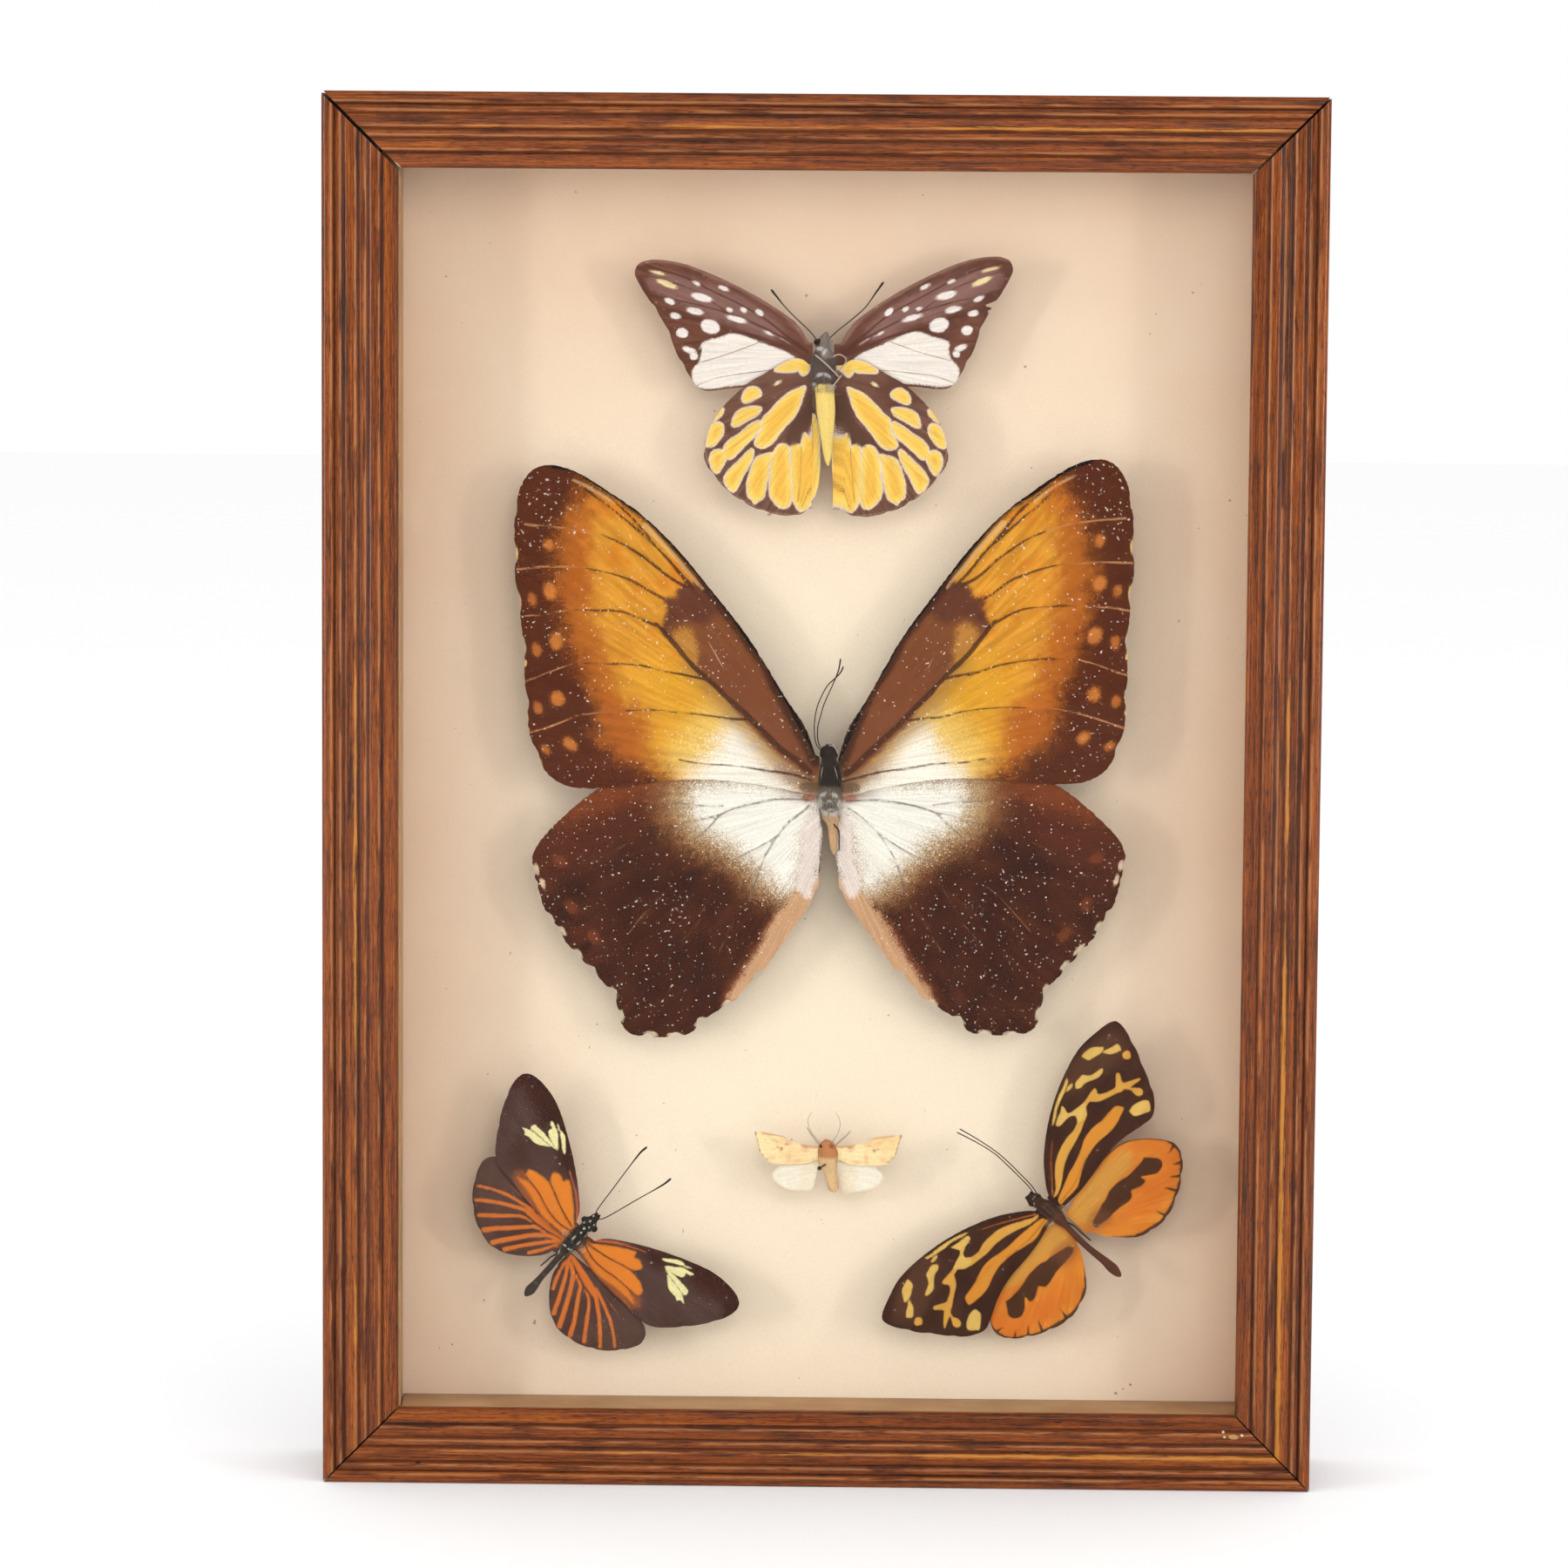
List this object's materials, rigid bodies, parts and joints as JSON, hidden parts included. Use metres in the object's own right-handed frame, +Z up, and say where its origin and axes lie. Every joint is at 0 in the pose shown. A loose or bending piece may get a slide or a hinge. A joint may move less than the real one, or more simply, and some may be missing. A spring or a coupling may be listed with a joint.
{
  "type": "framed butterfly specimen",
  "caption": "Upright wooden display frame with a glass front, holding spread butterflies and a small moth pinned to a pale board.",
  "frame": {"origin": "middle of the underside of the bottom rail", "axes": "+X to the viewer's right, -Y out of the glass towards the viewer, +Z up"},
  "size_m": [0.243, 0.04, 0.341],
  "materials": {
    "varnished_wood": "red-brown open-pored wood under glossy varnish, worn to orange on the middle ridge",
    "glass": "clear plain float glass",
    "liner_paper": "tan paper over card, aged",
    "board_paper": "cream paper over soft board, pinkish brown towards the edges",
    "hardboard": "brown hardboard with a woven back",
    "hanger_steel": "plated sheet steel, slightly dulled",
    "brad_steel": "drawn steel wire",
    "pin_steel": "blackened steel insect pin",
    "great_forewing_scales": "dry wing, orange scales with a black outer margin and a white base",
    "great_hindwing_scales": "dry wing, dark chocolate scales with a white fan at the base",
    "great_body_hair": "dry insect body with short hair",
    "spotted_forewing_scales": "dry wing, brown scales with white spots, underside showing",
    "spotted_hindwing_scales": "dry wing, yellow-orange scales with a brown border and dark spots, underside showing",
    "spotted_body_hair": "dry insect body with short hair",
    "banded_forewing_scales": "dry wing, black scales with a yellow band",
    "banded_hindwing_scales": "dry wing, orange scales with black margins",
    "banded_body_hair": "dry insect body with short hair",
    "tiger_forewing_scales": "dry wing, orange and black scales with yellow spots",
    "tiger_hindwing_scales": "dry wing, orange scales with black stripes",
    "tiger_body_hair": "dry insect body with short hair",
    "moth_forewing_scales": "dry wing, yellow-tan scales with orange-brown bands",
    "moth_hindwing_scales": "dry wing, pale tan scales",
    "moth_body_hair": "dry insect body with short hair"
  },
  "bodies": {
    "root": {"rail_top": "varnished_wood", "rail_bottom": "varnished_wood", "rail_left": "varnished_wood", "rail_right": "varnished_wood", "glass": "glass", "liner_left": "liner_paper", "liner_right": "liner_paper", "liner_top": "liner_paper", "liner_bottom": "liner_paper", "mounting_board": "board_paper", "back_panel": "hardboard", "hanger": "hanger_steel", "hanger_nail_left": "hanger_steel", "hanger_nail_right": "hanger_steel", "brad_left_1": "brad_steel", "brad_left_2": "brad_steel", "brad_left_3": "brad_steel", "brad_right_1": "brad_steel", "brad_right_2": "brad_steel", "brad_right_3": "brad_steel", "brad_bottom_1": "brad_steel", "brad_bottom_2": "brad_steel", "brad_top_1": "brad_steel", "brad_top_2": "brad_steel", "great_body": "great_body_hair", "great_forewing_left": "great_forewing_scales", "great_forewing_right": "great_forewing_scales", "great_hindwing_left": "great_hindwing_scales", "great_hindwing_right": "great_hindwing_scales", "great_pin": "pin_steel", "spotted_body": "spotted_body_hair", "spotted_forewing_left": "spotted_forewing_scales", "spotted_forewing_right": "spotted_forewing_scales", "spotted_hindwing_left": "spotted_hindwing_scales", "spotted_hindwing_right": "spotted_hindwing_scales", "spotted_pin": "pin_steel", "banded_body": "banded_body_hair", "banded_forewing_left": "banded_forewing_scales", "banded_forewing_right": "banded_forewing_scales", "banded_hindwing_left": "banded_hindwing_scales", "banded_hindwing_right": "banded_hindwing_scales", "banded_pin": "pin_steel", "tiger_body": "tiger_body_hair", "tiger_forewing_left": "tiger_forewing_scales", "tiger_forewing_right": "tiger_forewing_scales", "tiger_hindwing_left": "tiger_hindwing_scales", "tiger_hindwing_right": "tiger_hindwing_scales", "tiger_pin": "pin_steel", "moth_body": "moth_body_hair", "moth_forewing_left": "moth_forewing_scales", "moth_forewing_right": "moth_forewing_scales", "moth_hindwing_left": "moth_hindwing_scales", "moth_hindwing_right": "moth_hindwing_scales", "moth_pin": "pin_steel"}
  },
  "joints": []
}
